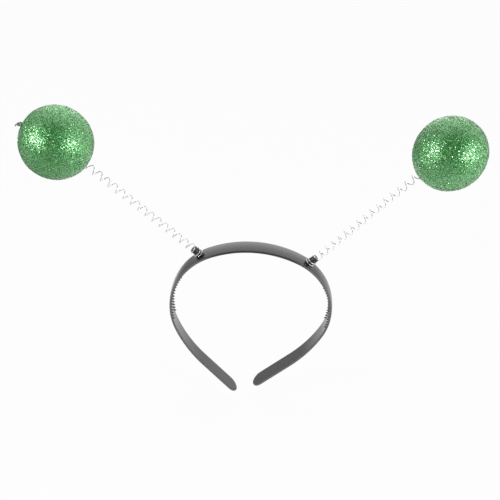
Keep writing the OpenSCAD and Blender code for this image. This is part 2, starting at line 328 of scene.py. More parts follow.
def on_band(side, s, y, z):
    """A place by distance s along the inner face, y across the band and z out from that face.
    The arc's centre plus its radius along the heading's normal, with a straight run past the last arc.
    Then the arm turns a little out of the arch's plane."""
    s, y, z = np.broadcast_arrays(s, y, z)
    heading = np.interp(s, stations, heads)
    arc = np.clip(np.searchsorted(stations[1:3], s), 0, 2)
    normal = outward_at(heading)
    flat = arc_centres[arc] + (ARC_R[arc] + z)[..., None] * normal
    straight = np.maximum(s - stations[3], 0)[..., None]
    flat = flat + straight * np.stack([normal[..., 1], -normal[..., 0]], -1)
    turn = side * ARM_SET * smooth((s - FLEX_S) / SET_RUN)
    drop = flat[..., 1] - FLEX_Z
    return np.stack([side * flat[..., 0],
                     y * np.cos(turn) - drop * np.sin(turn),
                     FLEX_Z + y * np.sin(turn) + drop * np.cos(turn)], -1)


# %% [markdown]
# ## The band's section
# The inner face is flat against the hair, the outer face is domed, and all the edges are rounded so
# that they don't cut. A bevel could round them, but the section is told here as a reach from the middle
# and a height, because the round tip is then the same section swung round the tip's centre.

# %% Section
EDGE_T, DOME, INNER_DROP = 1.9 * MM, 0.5 * MM, 0.25 * MM
PROUD = EDGE_T + DOME - INNER_DROP - BAND_T
INNER_ROUND, OUTER_ROUND = 0.6 * MM, 0.8 * MM
EDGE_FROM, EDGE_RUN = 0.91, 0.07
INNER_STEPS, OUTER_STEPS, CORNER_STEPS = 9, 15, 6
half_w = BAND_W / 2
inner_face = np.linspace(0, half_w - INNER_ROUND, INNER_STEPS)[:-1]
outer_face = np.linspace(half_w - OUTER_ROUND, 0, OUTER_STEPS)[1:]
corner = np.linspace(0, np.pi / 2, CORNER_STEPS)
reach = np.concatenate([
    inner_face,
    half_w - INNER_ROUND * (1 - np.sin(corner)),
    half_w - OUTER_ROUND * (1 - np.cos(corner)),
    outer_face])
height = np.concatenate([
    0 * inner_face,
    INNER_ROUND * (1 - np.cos(corner)),
    EDGE_T - OUTER_ROUND * (1 - np.sin(corner)),
    EDGE_T + DOME * (1 - (outer_face / (half_w - OUTER_ROUND)) ** 2)])
reach = np.concatenate([reach, reach[-2:0:-1]])
height = np.concatenate([height, height[-2:0:-1]]) - INNER_DROP
hand = np.concatenate([np.ones(len(reach) // 2 + 1), -np.ones(len(reach) // 2 - 1)])
edge_highlight = smooth((reach / half_w - EDGE_FROM) / EDGE_RUN)
print("section of", len(reach), "points")

# %% The section along the band
CROWN_HIGHLIGHT, HIGHLIGHT_FROM, HIGHLIGHT_RUN = 0.15, 28 * MM, 25 * MM
BOTH = 0


def on_crown(s, across):
    """Both halves of the crown: the right half's places, with x turned over where s is negative."""
    points = on_band(RIGHT, np.abs(s), across, height)
    return points * np.stack([np.where(s < 0, -1, 1), np.ones_like(s), np.ones_like(s)], -1)


def band_piece(name, side, s, fan):
    """The section carried along the band, and then swung through a quarter turn round the tip's centre.
    Row by row: distance s and reach to either side, or the tip's centre plus reach times the sine and
    cosine of the swing. The edges carry a painted highlight, paler away from the middle of the crown."""
    swing = np.concatenate([np.zeros(len(s)), fan])[:, None]
    foot = np.concatenate([s, np.full(len(fan), s[-1])])[:, None]
    places = foot + reach * np.sin(swing)
    across = hand * reach * np.cos(swing)
    points = on_crown(places, across) if side == BOTH else on_band(side, places, across, height)
    caps = end_caps(len(foot), len(reach))
    open_ends = caps[:1] if len(fan) else caps
    faces = [*grid_faces(len(foot), len(reach)), *open_ends]
    uv = np.stack([places, across + height], -1)
    # Painted highlight on the edges: faint at the middle of the crown, full at the temples.
    highlight_share = CROWN_HIGHLIGHT + (1 - CROWN_HIGHLIGHT) * smooth((np.abs(foot) - HIGHLIGHT_FROM) / HIGHLIGHT_RUN)
    return make_piece(name, points, faces, band_finish, uv, edge_highlight * highlight_share)


# %% [markdown]
# ## Crown and arms
# The real band is one moulding that bends along its length. It is cut in the solids where each arm
# starts to flex. Here the pieces meet a little nearer the peg.

# %% Crown and arms
SEAM_S, BEND_END_S = FLEX_S - 5 * MM, FLEX_S + 18 * MM
CROWN_ROWS, ARM_ROWS, TIP_ROWS = 165, 231, 24
quarter = np.linspace(0, np.pi / 2, TIP_ROWS + 1)[1:]
crown = band_piece("crown_band_moulding", BOTH, np.linspace(-SEAM_S, SEAM_S, CROWN_ROWS), np.zeros(0))
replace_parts(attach(crown, "crown"), "crown_band")


def bend_with_arm(side, piece):
    """Bakes a piece's place into its points. Where the bend would start and end is worked out, but not
    used.
    """
    start_at, end_at = on_band(side, np.array([SEAM_S, BEND_END_S]), 0, BAND_T / 2)
    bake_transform(piece)


for side in (LEFT, RIGHT):
    name = SIDE_NAMES[side]
    rows = np.linspace(SEAM_S, stations[-1] - half_w, ARM_ROWS)
    arm = band_piece(name + "_arm_moulding", side, rows, quarter)
    bend_with_arm(side, arm)
    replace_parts(arm, name + "_arm")

# %% [markdown]
# ## Comb teeth
# Two rows of short blunt teeth stand on the inner face below the temples and grip the hair. They are
# moulded with the band, so each has a small fillet at its root and a rounded tip. One tooth could be
# copied along the band by a modifier, but the upper teeth are shorter. A tooth is a turned shape, a
# radius for each height, and all of a side's teeth are worked out in one array.

# %% One tooth
TOOTH_L, ROOT_R, TIP_R, FILLET = 1.35 * MM, 0.75 * MM, 0.45 * MM, 0.22 * MM
tip = np.linspace(0, np.pi / 2, CORNER_STEPS)
stem = np.array([-0.3, 0, 0.1, 0.22, 0.4, 0.7]) * MM
tooth_h = np.concatenate([stem, TOOTH_L - TIP_R * (1 - np.sin(tip))])
tooth_r = np.interp(tooth_h, [0, TOOTH_L - TIP_R], [ROOT_R, TIP_R])
tooth_r += FILLET * np.exp(-np.maximum(tooth_h, 0) / FILLET)
tooth_r[len(stem):] = TIP_R * np.cos(tip)
print("tooth of", len(tooth_h), "rings, widest", round(2 * tooth_r.max() / MM, 2), "mm")

# %% Comb teeth
TOOTH_PITCH, TOOTH_INSET, TOOTH_RUB, TOOTH_SIDES = 2.7 * MM, 1.55 * MM, 0.15, 14
LOWEST_A, HIGHEST_A = np.radians(105.5), np.radians(60)
SHORT_SHARE, SHORT_A, SHORT_RUN = 0.65, np.radians(65), np.radians(25)
tooth_heads = np.arange(LOWEST_A, HIGHEST_A, -TOOTH_PITCH / ARC_R[1])
tooth_s = stations[1] + ARC_R[1] * (tooth_heads - heads[1])
tooth_share = SHORT_SHARE + (1 - SHORT_SHARE) * smooth((tooth_heads - SHORT_A) / SHORT_RUN)
turn_round = np.linspace(0, 2 * np.pi, TOOTH_SIDES, endpoint=False)
tooth_rows = np.array([-1, 1]) * (half_w - TOOTH_INSET)
s, y, h = np.broadcast_arrays(
    tooth_s[:, None, None, None] + tooth_r[:, None] * np.cos(turn_round),
    tooth_rows[:, None, None] + tooth_r[:, None] * np.sin(turn_round),
    -INNER_DROP - tooth_share[:, None, None, None] * tooth_h[:, None])
first_points = np.arange(len(tooth_s) * len(tooth_rows)) * len(tooth_h) * len(turn_round)
walls = grid_faces(len(tooth_h), len(turn_round)) + first_points[:, None, None]
roots = first_points[:, None] + np.arange(len(turn_round))
tooth_tone = np.broadcast_to(TOOTH_RUB * tooth_h[:, None] / TOOTH_L, s.shape)

for side in (LEFT, RIGHT):
    name = SIDE_NAMES[side]
    teeth = make_piece(name + "_comb", on_band(side, s, y, h), [*walls.reshape(-1, 4), *roots],
                       band_finish, np.stack([s, y], -1), tooth_tone)
    bend_with_arm(side, teeth)
    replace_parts(teeth, name + "_comb_teeth")

# %% [markdown]
# ## Black peg plastic
# The pegs are a harder, shinier, blacker plastic than the band, with the soft orange-peel of a small
# moulding and dust-grey scuffs. A painted picture could hold the scuffs, but noise in the piece's own
# space needs no map and stays sharp from near by.

# %% Peg finish
peg_finish, start = new_finish("peg_plastic")
at = start.node("TexCoord", out="Object")
peel = noise(at, 900, 2, 0.5)
scuff = step(noise(at, 520, 4, 0.65), 0.52, 0.72)
coated(start, {
    "Base Color": mixed(scuff, (0.026, 0.026, 0.028), (0.060, 0.060, 0.062)),
    "Roughness": 0.30 + 0.12 * peel + 0.18 * scuff,
    "Normal": bumped(peel, 0.00004, 0.4),
    "IOR": 1.5,
})
print("peg finish: nodes", len(peg_finish.node_tree.nodes))

# %% [markdown]
# ## Pegs
# Each peg is a small turned post: a foot, a slightly narrower stud above it and a flat end with a
# rounded rim. The spring is wound round it. A spigot goes through the band and is spread to a low
# rivet head inside. Both are turned shapes, a radius for each height along an axis, so one function
# makes them.

# %% Turned shapes
CUT_SHARE = 0.45


def leaning(side, lean):
    """The direction of a lean from upright, and the one square to it in the arch's plane, down and out."""
    return (np.stack([side * np.sin(lean), 0 * lean, np.cos(lean)], -1),
            np.stack([side * np.cos(lean), 0 * lean, -np.sin(lean)], -1))


def turned(line, across, radius, around=40):
    """A turned shape: round each place of a line, the radius times the cosine along across, plus the
    radius times the sine along y."""
    a = np.linspace(0, 2 * np.pi, around, endpoint=False)[:, None]
    across = np.broadcast_to(across, line.shape)[:, None]
    return line[:, None] + radius[:, None, None] * (np.cos(a) * across + np.sin(a) * Y_WAY)


def rounded(corners, radius, steps=5):
    """A profile through corner points, each corner cut by a short curve: a quadratic from side to side."""
    p = np.asarray(corners, float)
    before, after = p[:-2] - p[1:-1], p[2:] - p[1:-1]
    before_l, after_l = (np.linalg.norm(v, axis=1, keepdims=True) for v in (before, after))
    cut = np.minimum(radius, CUT_SHARE * np.minimum(before_l, after_l))
    a, b = p[1:-1] + before / before_l * cut, p[1:-1] + after / after_l * cut
    t = np.linspace(0, 1, steps)[:, None, None]
    curve = (1 - t) ** 2 * a + 2 * t * (1 - t) * p[1:-1] + t ** 2 * b
    return np.concatenate([p[:1], curve.transpose(1, 0, 2).reshape(-1, 2), p[-1:]])


# %% Pegs
PEG_A, PEG_LEAN, PEG_H = np.radians(34.2), np.radians(47.3), 8.6 * MM
FOOT_R, FOOT_H, FOOT_SUNK = 3.2 * MM, 2.9 * MM, 0.95 * MM
STUD_R, STUD_FROM = 3 * MM, 3.1 * MM
POST_ROUND, HEAD_ROUND = 0.4 * MM, 0.2 * MM
HEAD_PROFILE = np.array([[0, 0.5], [1.9, 0.5], [1.9, -0.12], [1.1, -0.3], [0, -0.34]]) * MM
peg_foot_flat = arc_centres[1] + (ARC_R[1] + BAND_T) * outward_at(PEG_A)
post = rounded([[0, -FOOT_SUNK], [FOOT_R, -FOOT_SUNK], [FOOT_R, FOOT_H], [STUD_R, STUD_FROM],
                [STUD_R, PEG_H], [0, PEG_H]], POST_ROUND)
head = rounded(HEAD_PROFILE, HEAD_ROUND)


def peg_foot(side):
    """The middle of a peg's foot, on the band's outer face."""
    return np.array([side * peg_foot_flat[0], 0, peg_foot_flat[1]])


for side in (LEFT, RIGHT):
    name = SIDE_NAMES[side]
    axis, across = leaning(side, PEG_LEAN)
    normal, beside = leaning(side, PEG_A)
    inside = peg_foot(side) - axis * (BAND_T + INNER_DROP) / np.cos(PEG_LEAN - PEG_A)
    outer = turned(peg_foot(side) + post[:, 1:] * axis, across, post[:, 0])
    inner = turned(inside + head[:, 1:] * normal, beside, head[:, 0])
    points = np.concatenate([outer.reshape(-1, 3), inner.reshape(-1, 3)])
    faces = np.concatenate([grid_faces(*outer.shape[:2]), grid_faces(*inner.shape[:2]) + outer.size // 3])
    peg = make_piece(name + "_peg_post", points, faces, peg_finish)
    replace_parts(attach(peg, "crown"), name + "_peg")

# %% [markdown]
# ## Bright spring wire
# The springs are drawn steel wire with a bright finish. Drawing leaves fine lines along the wire and a
# slightly uneven shine. The lines run along the wire, so they are told in the wire's own map: many
# round it, few along it. The left wire's hooked end is darkened, a painted shade told by a tone.

# %% Wire finish
wire_finish, start = new_finish("spring_wire")
along = start.node("TexCoord", out="UV")
drawn = noise(stretched(along, (60, 9, 1)), 1.0, 3, 0.6)
dull = step(noise(stretched(along, (140, 1.5, 1)), 1.0, 4, 0.6), 0.45, 0.75)
hook_shade = start.node("Attribute", {"attribute_name": "tone"}, out="Fac")
bright = mixed(dull, (0.84, 0.84, 0.845), (0.66, 0.66, 0.665))
coated(start, {
    # Painted shade: the end of the left wire's hook is mixed dark.
    "Base Color": mixed(hook_shade, bright, (0.13, 0.125, 0.12)),
    "Metallic": 1.0,
    "Roughness": 0.28 + 0.14 * drawn + 0.12 * dull + 0.15 * hook_shade,
    "Normal": bumped(drawn, 0.00002, 0.35),
})
print("wire finish: nodes", len(wire_finish.node_tree.nodes))

# %% [markdown]
# ## The wire's line
# Each spring is one wire: a turn round the peg's foot, one up the stud, then open coils that stand a
# little wider apart towards the ball, and a last turn that draws in to the ball. The left wire turns down
# a little as it goes in, comes out at the far side and is hooked over. A Screw modifier would make even
# coils only. Here turns give the distance along the axis and the radius, so the whole line is a few
# tables and a cosine.

# %% Sizes of the springs
WIRE_R, COIL_R, FOOT_COIL_R, STUD_COIL_R = 0.4 * MM, 3.2 * MM, 3.75 * MM, 3.55 * MM
FREE_L, LEAD_L, BALL_R, DIMPLE_H = 112 * MM, 2.5 * MM, 30 * MM, 1.4 * MM
FOOT_RISE, FOOT_TOP, STRETCH, LEAN_RUN = 2.53 * MM, 3.8 * MM, 0.07, 4 * MM
FOOT_TURNS, PEG_TURNS, LEAD_TURNS = 1.1, 2.1, 0.75
DRIP_L, HOOK_R, HOOK_A = 4 * MM, 1.5 * MM, np.radians(80)
LEAN = {LEFT: np.radians(51.9), RIGHT: np.radians(41.7)}
TAIL_LEAN = {LEFT: LEAN[LEFT] + np.radians(6.2), RIGHT: LEAN[RIGHT]}
DRIP_LEAN = TAIL_LEAN[LEFT] + np.radians(30)
FREE_TURNS = {LEFT: 14.5, RIGHT: 15.25}
START_A = {LEFT: np.radians(80), RIGHT: np.radians(176)}
START_U = {LEFT: 0.955 * MM, RIGHT: 0.573 * MM}
TAIL_DEPTH = {LEFT: 0 * MM, RIGHT: 1.5 * MM}
BEND_U = 22 * MM
MIDDLE_U = PEG_H + FREE_L / 2
ENTRY_U = PEG_H + FREE_L
BALL_U = ENTRY_U + BALL_R
TURN_STEPS, TAIL_STEPS, DRIP_STEPS, HOOK_STEPS, WIRE_SIDES = 40, 29, 7, 15, 12
print("middles of the balls", round(BALL_U / MM, 1), "mm from the band")


# %% Coils
def on_axis(side, u):
    """A place u along the antenna: up the peg's lean, along the spring's lean, then along the ball's."""
    u = np.asarray(u, float)[..., None]
    return (peg_foot(side) + np.minimum(u, PEG_H) * leaning(side, PEG_LEAN)[0]
            + np.clip(u - PEG_H, 0, FREE_L) * leaning(side, LEAN[side])[0]
            + np.maximum(u - ENTRY_U, 0) * leaning(side, TAIL_LEAN[side])[0])


def coil_line(side):
    """The coils' middle line, the way out from the axis, the distance along the antenna and the angle.
    Radius times cosine and sine of the turns, about a place that moves along the axis."""
    free_end = PEG_TURNS + FREE_TURNS[side]
    wire_end = free_end + LEAD_TURNS
    turns = np.linspace(0, wire_end, int(wire_end * TURN_STEPS))
    share = np.clip((turns - PEG_TURNS) / FREE_TURNS[side], 0, 1)
    lead_u = PEG_H + FREE_L - LEAD_L
    u = np.interp(turns, [0, FOOT_TURNS, PEG_TURNS],
                  [START_U[side] + PROUD, START_U[side] + FOOT_RISE, PEG_H])
    u = np.where(turns > PEG_TURNS, PEG_H + (lead_u - PEG_H) * (share + STRETCH * share * (share - 1)), u)
    u = np.where(turns > free_end, lead_u + (LEAD_L + DIMPLE_H) * (turns - free_end) / LEAD_TURNS, u)
    on_peg = np.interp(u, [FOOT_TOP, PEG_H], [FOOT_COIL_R, STUD_COIL_R])
    free = np.interp(turns, [PEG_TURNS, PEG_TURNS + 1], [STUD_COIL_R, COIL_R])
    radius = np.where(turns > PEG_TURNS, free, on_peg) * (1 - smooth((turns - free_end) / LEAD_TURNS))
    lean_share = smooth((u - PEG_H) / LEAN_RUN + 0.5)[:, None]
    square = leaning(side, LEAN[side])[1] * lean_share + leaning(side, PEG_LEAN)[1] * (1 - lean_share)
    a = (START_A[side] + 2 * np.pi * turns)[:, None]
    out = np.cos(a) * square + side * np.sin(a) * Y_WAY
    return on_axis(side, u) + radius[:, None] * out, out, u, a[-1, 0]


# %% Tail and hook
def tail_line(side, u_from, a_from):
    """The straight tail through the ball. Its section turns on until it faces y, so that the hook after
    it isn't twisted: to the nearest whole number of turns and a quarter."""
    u = np.linspace(u_from, BALL_U + BALL_R - TAIL_DEPTH[side], TAIL_STEPS + 1)[1:]
    a_to = (np.round(a_from / (2 * np.pi) - 0.25) + 0.25) * 2 * np.pi
    a = np.linspace(a_from, a_to, TAIL_STEPS + 1)[1:, None]
    out = np.cos(a) * leaning(side, LEAN[side])[1] + side * np.sin(a) * Y_WAY
    return on_axis(side, u), out, u


def hook_line(side, exit_at):
    """The wire outside the ball: a straight run in the drip, an arc and a short straight end."""
    axis, across = leaning(side, DRIP_LEAN)
    run = exit_at + np.linspace(0, DRIP_L, DRIP_STEPS + 1)[1:, None] * axis
    bend = np.linspace(0, HOOK_A, HOOK_STEPS + 1)[1:, None]
    hook = run[-1] + HOOK_R * (np.sin(bend) * axis + (1 - np.cos(bend)) * across)
    end = hook[-1] + 2 * WIRE_R * (np.cos(HOOK_A) * axis + np.sin(HOOK_A) * across)
    return np.concatenate([run, hook, end[None]])


# %% The whole wire
def wire_line(side):
    """The whole wire's middle line, a direction square to it and the distance along the antenna."""
    line, out, u, a_end = coil_line(side)
    tail, tail_out, tail_u = tail_line(side, u[-1], a_end)
    line, out, u = (np.concatenate(pair) for pair in ((line, tail), (out, tail_out), (u, tail_u)))
    if side == LEFT:
        hook = hook_line(side, line[-1])
        line = np.concatenate([line, hook])
        out = np.concatenate([out, np.repeat(out[-1:], len(hook), 0)])
        u = np.concatenate([u, np.repeat(u[-1:], len(hook))])
    return line, out, u


def tube(line, out):
    """A round wire: the line plus the wire's radius round it, in the plane square to its run."""
    run = np.gradient(line, axis=0)
    run /= np.linalg.norm(run, axis=1, keepdims=True)
    first = out - (out * run).sum(1, keepdims=True) * run
    first /= np.linalg.norm(first, axis=1, keepdims=True)
    second = np.cross(run, first)
    a = np.linspace(0, 2 * np.pi, WIRE_SIDES, endpoint=False)[:, None]
    return line[:, None] + WIRE_R * (np.cos(a) * first[:, None] + np.sin(a) * second[:, None])


# %% [markdown]
# ## Springs
# A spring bends along its whole length when the ball bobs. The solids move about two hinges, one at
# the end of the peg and one half way along. So the wire is made in two lengths: the lower one up to a
# little below the middle hinge, the upper one from there to the ball.

# %% Springs
MAP_L, HOOK_SHADE_L, HOOK_SHADE_RUN = 100 * MM, 3.4 * MM, 1 * MM
for side in (LEFT, RIGHT):
    name = SIDE_NAMES[side]
    line, out, u = wire_line(side)
    rings = tube(line, out)
    length = np.concatenate([[0], np.cumsum(np.linalg.norm(np.diff(line, axis=0), axis=1))])
    uv = np.stack(np.broadcast_arrays(length[:, None] / MAP_L, np.arange(WIRE_SIDES) / WIRE_SIDES), -1)
    # Painted shade over the last few millimetres of the left wire, at its hook.
    hook_shade = smooth((length - length[-1] + HOOK_SHADE_L) / HOOK_SHADE_RUN) * (side == LEFT)
    hook_shade = np.repeat(hook_shade[:, None], WIRE_SIDES, 1)
    cut = int(np.searchsorted(u, MIDDLE_U - BEND_U))
    peg_end, below, above = on_axis(side, np.array([PEG_H, MIDDLE_U - BEND_U, MIDDLE_U + BEND_U]))
    lengths = {"lower": (slice(0, cut + 1), "crown", name + "_spring", peg_end, below),
               "upper": (slice(cut, None), name + "_spring", name + "_ball", below, above)}
    for part, (rows, body_a, body_b, start_at, end_at) in lengths.items():
        shape = rings[rows].shape[:2]
        wire = make_piece(name + "_spring_" + part, rings[rows], [*grid_faces(*shape), *end_caps(*shape)],
                          wire_finish, uv[rows], hook_shade[rows])
        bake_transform(wire)
        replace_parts(wire, name + "_spring")
    print(name, "wire is", round(length[-1] / MM), "mm long")

# %% [markdown]
# ## Foam
# The balls are cut-price expanded foam: pale beads pressed together, with a darker line where they
# meet. It shows only in the hole where the wire goes in, under the glitter's edge, so the beads aren't
# modelled: a Voronoi pattern's distance to the edge of its cells draws the lines between them.

# %% Foam finish
foam_finish, start = new_finish("ball_foam")
at = start.node("TexCoord", out="Object")
beads = start.node("TexVoronoi", {"feature": "DISTANCE_TO_EDGE"}, {"Vector": at, "Scale": 380.0})
seam = 1 - step(beads, 0.0, 0.12)
coated(start, {
    "Base Color": mixed(seam, (0.74, 0.80, 0.72), (0.42, 0.52, 0.41)),
    "Roughness": 0.62 + 0.2 * noise(at, 1500, 2),
    "Normal": bumped(step(beads, 0.0, 0.25), 0.0003, 0.6),
})
print("foam finish: nodes", len(foam_finish.node_tree.nodes))

# %% [markdown]
# ## The shape of a ball
# A foam ball is never quite round: these are a little long along the wire, and the wire misses the
# middle. A sculpted sphere would do, but the skin is told by directions from a place on the wire, so
# that the two holes stay round the wire. Low waves in many directions make the uneven lay of the glue.

# %% Ball skin
BALL_SHAPE = {LEFT: (30.2 * MM, 29.4 * MM, 0.55 * MM, -2.64 * MM),
              RIGHT: (30.6 * MM, 28.8 * MM, -0.67 * MM, 3.2 * MM)}
COAT_T, LUMP_H = 0.4 * MM, 0.55 * MM
PLUG_R, DIMPLE_R = 2.0 * MM, 2.5 * MM
WAVES, WAVE_RATES, WAVE_SEED = 40, (4, 15), 11
chance = np.random.default_rng(WAVE_SEED)
wave_way = chance.normal(size=(WAVES, 3))
wave_way *= (chance.uniform(*WAVE_RATES, WAVES) / np.linalg.norm(wave_way, axis=1))[:, None]
wave_start = chance.uniform(0, 2 * np.pi, WAVES)


def lumps(way):
    """Uneven height about 0: the mean of many sine waves, each in its own direction."""
    return np.sin(way @ wave_way.T + wave_start).mean(-1)


def ball_skin(side, polar, around, lift=0.0, lump=0.0):
    """Places on a ball and the way out there. A ray from the wire, at an angle from the far end and an
    angle round it, meets an ellipsoid: the larger root of a quadratic. Lift grows the ellipsoid, and
    lump raises it by the waves."""
    long_r, wide_r, shift, off = BALL_SHAPE[side]
    axis, across = leaning(side, TAIL_LEAN[side])
    basis = np.stack([across, Y_WAY, axis])
    ray = np.stack(np.broadcast_arrays(np.sin(polar) * np.cos(around), np.sin(polar) * np.sin(around),
                                       np.cos(polar)), -1)
    lift = np.broadcast_to(lift, ray.shape[:-1])[..., None]
    size = np.array([wide_r, wide_r, long_r]) + lift
    foot = np.array([-off, 0, 0])
    a = ((ray / size) ** 2).sum(-1)
    b = (foot * ray / size ** 2).sum(-1)
    c = ((foot / size) ** 2).sum(-1) - 1
    local = foot + ray * ((-b + np.sqrt(b * b - a * c)) / a)[..., None]
    way = local / size ** 2
    way /= np.linalg.norm(way, axis=-1, keepdims=True)
    local = local + way * (lump * lumps(way + side))[..., None]
    middle = on_axis(side, BALL_U) + shift * axis + off * across
    return middle + local @ basis, way @ basis


# %% [markdown]
# ## Foam cores
# Under the coat is the foam itself, with a shallow cone where the wire goes in. It is the same skin a
# coat's thickness further in, pressed in near the wire.

# %% Foam cores
CORE_GAP, CONE_DEPTH, CONE_R = 0.03 * MM, 1.9 * MM, 2.4 * MM
CORE_ROWS, CORE_COLUMNS = 73, 120
polar = np.linspace(0, np.pi, CORE_ROWS)[:, None]
around = np.linspace(0, 2 * np.pi, CORE_COLUMNS, endpoint=False)[None, :]
from_wire = np.where(polar > np.pi / 2, BALL_R * np.sin(polar), BALL_R)
pressed = CONE_DEPTH * np.clip(1 - from_wire / CONE_R, 0, 1)
for side in (LEFT, RIGHT):
    name = SIDE_NAMES[side]
    points, _ = ball_skin(side, polar, around, -COAT_T - CORE_GAP - pressed)
    core = make_piece(name + "_foam_core", points, grid_faces(*points.shape[:2]), foam_finish)
    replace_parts(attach(core, name + "_ball"), name + "_ball_core")

# %% [markdown]
# ## Glitter, as a coat and as flakes
# Glitter is thousands of small six-sided plates of foil, each lying at its own tilt. Some are satin
# green metal, which mirrors the room in green. The rest lie under hard clear lacquer: their green is
# seen from everywhere, and their skin throws back a lamp as a white sparkle. Each plate's tone tells its
# kind, metal up to a half and lacquered above. The coat below them is the same foil seen between the
# plates: cells of one tilt each, from a Voronoi pattern whose colour turns the normal. The pattern alone
# could stand for all the glitter, but its rim would be smooth where the real one bristles.

# %% Glitter coat finish
METAL_TOP, LACQUER_FROM = 0.49, 0.51
FOIL = [(0.0, (0.100, 0.460, 0.115)), (METAL_TOP, (0.330, 0.840, 0.350)),
        (LACQUER_FROM, (0.008, 0.108, 0.012)), (1.0, (0.028, 0.280, 0.036))]
coat_finish, start = new_finish("glitter_coat")
at = start.node("TexCoord", out="Object")
cell = start.node("TexVoronoi", {}, {"Vector": at, "Scale": 1150.0}, out="Color")
tone = start.node("SeparateColor", {}, {0: cell}, out=1)
tilt = start.node("VectorMath", {"operation": "SUBTRACT"}, {0: cell, 1: (0.5, 0.5, 0.5)})
tilt = start.node("VectorMath", {"operation": "SCALE"}, {0: tilt, "Scale": 0.45})
facing = start.node("NewGeometry", out="Normal")
facing = start.node("VectorMath", {"operation": "ADD"}, {0: facing, 1: tilt})
facing = start.node("VectorMath", {"operation": "NORMALIZE"}, {0: facing})
coated(start, {
    "Base Color": start.node("ValToRGB", {"stops": FOIL}, {0: tone * 0.4}),
    "Metallic": 0.9,
    "Roughness": 0.40 + 0.2 * tone,
    "Normal": facing,
})
print("glitter coat finish: nodes", len(coat_finish.node_tree.nodes))

# %% Glitter flake finish
flake_finish, start = new_finish("glitter_flakes")
tone = start.node("Attribute", {"attribute_name": "tone"}, out="Fac")
at = start.node("TexCoord", out="Object")
lacquer = step(tone, METAL_TOP, LACQUER_FROM)
coated(start, {
    "Base Color": start.node("ValToRGB", {"stops": FOIL}, {0: tone}),
    "IOR": 1.95,
    "Metallic": 0.95 - 0.9 * lacquer,
    "Roughness": 0.36 - 0.30 * lacquer + 0.14 * noise(at, 1800, 2),
    "Coat Weight": 1 - lacquer,
    "Coat Roughness": 0.12,
    "Coat IOR": 2.3,
})
print("glitter flake finish: nodes", len(flake_finish.node_tree.nodes))

# %% [markdown]
# ## Coats
# The coat is a thin shell of glue and glitter. It has a rounded edge at the hole for the wire and at
# the glue plug. One closed loop, out along the outer wall, round the lip, back along the inner wall and
# round the other lip, is carried round the wire, so there are no poles to close.

# %% Coats
WALL_ROWS, INNER_SKIP, LIP_STEPS, COAT_COLUMNS = 121, 5, 7, 240
lip = np.linspace(0, np.pi, LIP_STEPS)[1:-1]
far, near = np.arcsin(PLUG_R / BALL_R), np.pi - np.arcsin(DIMPLE_R / BALL_R)
lip_turn = COAT_T / 2 / BALL_R
outer_wall = np.linspace(far, near, WALL_ROWS)
inner_wall = outer_wall[::-INNER_SKIP]
loop = np.concatenate([outer_wall, near + lip_turn * np.sin(lip), inner_wall, far - lip_turn * np.sin(lip)])
lift = np.concatenate([0 * outer_wall, COAT_T / 2 * (np.cos(lip) - 1),
                       0 * inner_wall - COAT_T, COAT_T / 2 * (np.cos(lip[::-1]) - 1)])
outer_share = (1 + lift / COAT_T)[:, None]
round_ball = np.linspace(0, 2 * np.pi, COAT_COLUMNS, endpoint=False)[None, :]
for side in (LEFT, RIGHT):
    name = SIDE_NAMES[side]
    points, _ = ball_skin(side, loop[:, None], round_ball, lift[:, None], LUMP_H * outer_share)
    faces = grid_faces(*points.shape[:2], close_rows=True)
    coat = make_piece(name + "_glitter_skin", points, faces, coat_finish)
    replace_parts(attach(coat, name + "_ball"), name + "_glitter_coat")

# %% [markdown]
# ## Flakes
# The plates are dusted on wet glue, so they lie nearly flat, a few stand up, and they overlap. Particles
# could scatter them, but each plate carries its own tone, so they are one array. A spiral of even steps
# spreads them over the ball, and chance shifts, tilts, turns and sizes each one.

# %% Flakes
FLAKES, FLAKE_SEED, LACQUERED, FLAKE_SIDES = 38000, 40, 0.5, 6
GOLDEN_A, AROUND_SHIFT, BARE_A = np.pi * (3 - np.sqrt(5)), 0.05, 0.012
TILT, UNRULY, UNRULY_ODDS = 0.20, [0.6, 1, 2.2], [0.45, 0.45, 0.10]
FLAKE_R, FLAKE_LIFT = (0.32, 0.46), (0.01, 0.12)
NOT_FACING = [0.31, 0.87, 0.38]
SIXTH = 2 * np.pi / FLAKE_SIDES
corner = np.arange(FLAKE_SIDES) * SIXTH
for side in (LEFT, RIGHT):
    name = SIDE_NAMES[side]
    chance = np.random.default_rng(FLAKE_SEED + side)
    share = (np.arange(FLAKES) + chance.uniform(0, 1, FLAKES)) / FLAKES
    polar = np.arccos(1 - 2 * share)
    around = np.arange(FLAKES) * GOLDEN_A + chance.normal(0, AROUND_SHIFT, FLAKES)
    clear = (polar > far + BARE_A) & (polar < near - BARE_A)
    polar, around = polar[clear], around[clear]
    count = len(polar)
    place, way = ball_skin(side, polar, around, 0.0, LUMP_H)
    tilted = chance.normal(0, TILT, (count, 3))
    facing = way + tilted * chance.choice(UNRULY, (count, 1), p=UNRULY_ODDS)
    facing /= np.linalg.norm(facing, axis=1, keepdims=True)
    first = np.cross(facing, NOT_FACING)
    first /= np.linalg.norm(first, axis=1, keepdims=True)
    second = np.cross(facing, first)
    radius = chance.uniform(*FLAKE_R, (count, 1, 1)) * MM
    a = (corner + chance.uniform(0, SIXTH, (count, 1)))[..., None]
    place = place + way * chance.uniform(*FLAKE_LIFT, (count, 1)) * MM
    points = place[:, None] + radius * (np.cos(a) * first[:, None] + np.sin(a) * second[:, None])
    tone = METAL_TOP * chance.beta(2, 2, count)
    tone += LACQUER_FROM * (chance.uniform(0, 1, count) < LACQUERED)
    faces = np.arange(count * FLAKE_SIDES).reshape(-1, FLAKE_SIDES)
    flakes = make_piece(name + "_glitter_flakes", points, faces, flake_finish,
                        tone=np.repeat(tone, FLAKE_SIDES), flat=True)
    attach(flakes, name + "_ball")

